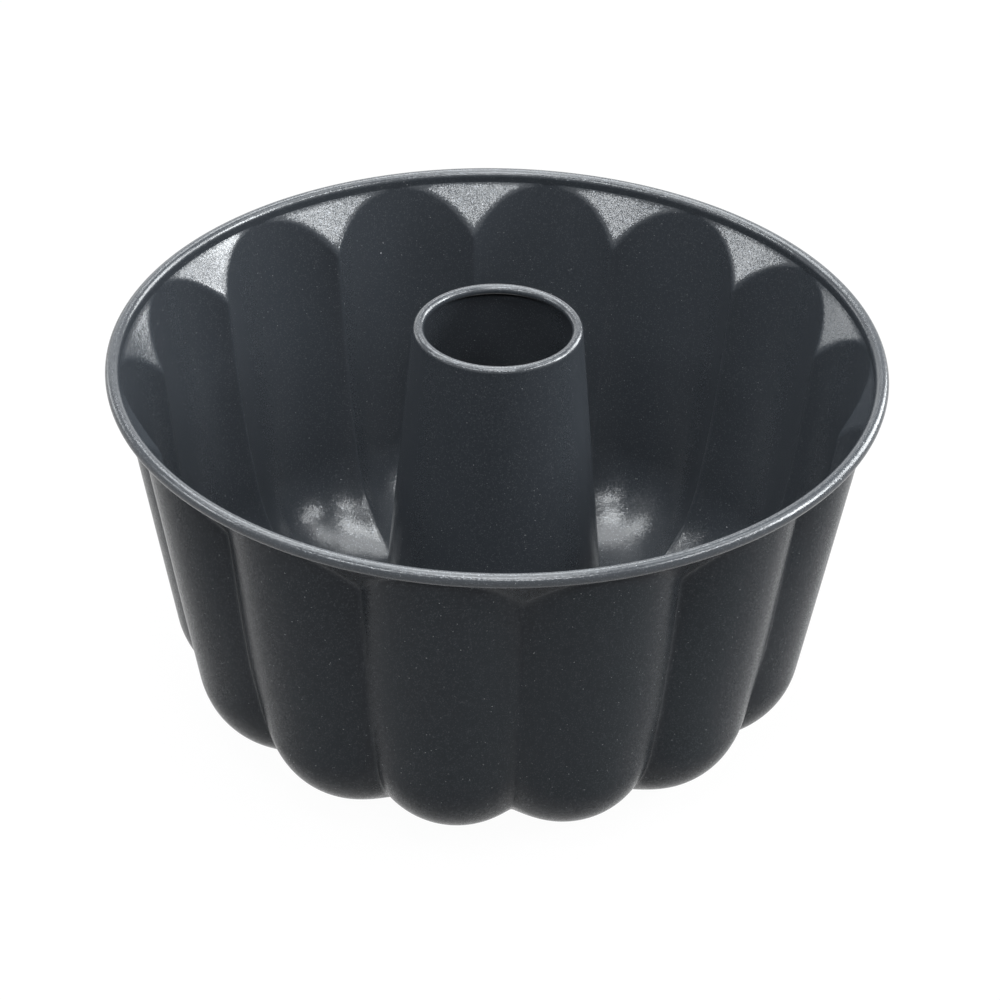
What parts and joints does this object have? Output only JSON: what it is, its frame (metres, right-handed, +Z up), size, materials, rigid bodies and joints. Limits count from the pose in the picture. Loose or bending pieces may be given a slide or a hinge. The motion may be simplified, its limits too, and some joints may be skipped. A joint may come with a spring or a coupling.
{
  "type": "ring cake pan",
  "caption": "Fluted ring-cake pan of coated sheet metal with a wired, rolled rim and a conical centre tube clinched into its floor.",
  "frame": {"origin": "centre of the pan's footprint, on the plane that it stands on", "axes": "+Z up along the axis of the pan and its tube, +X through the crest of one flute"},
  "size_m": [0.222, 0.222, 0.1208],
  "materials": {
    "fluted_shell": "dark anthracite non-stick coating, satin, with fine metallic fleck",
    "rim_wire": "plain steel wire",
    "centre_tube": "dark anthracite non-stick coating, satin, with fine metallic fleck"
  },
  "bodies": {
    "root": {"fluted_shell": "fluted_shell", "rim_wire": "rim_wire", "centre_tube": "centre_tube"}
  },
  "joints": []
}
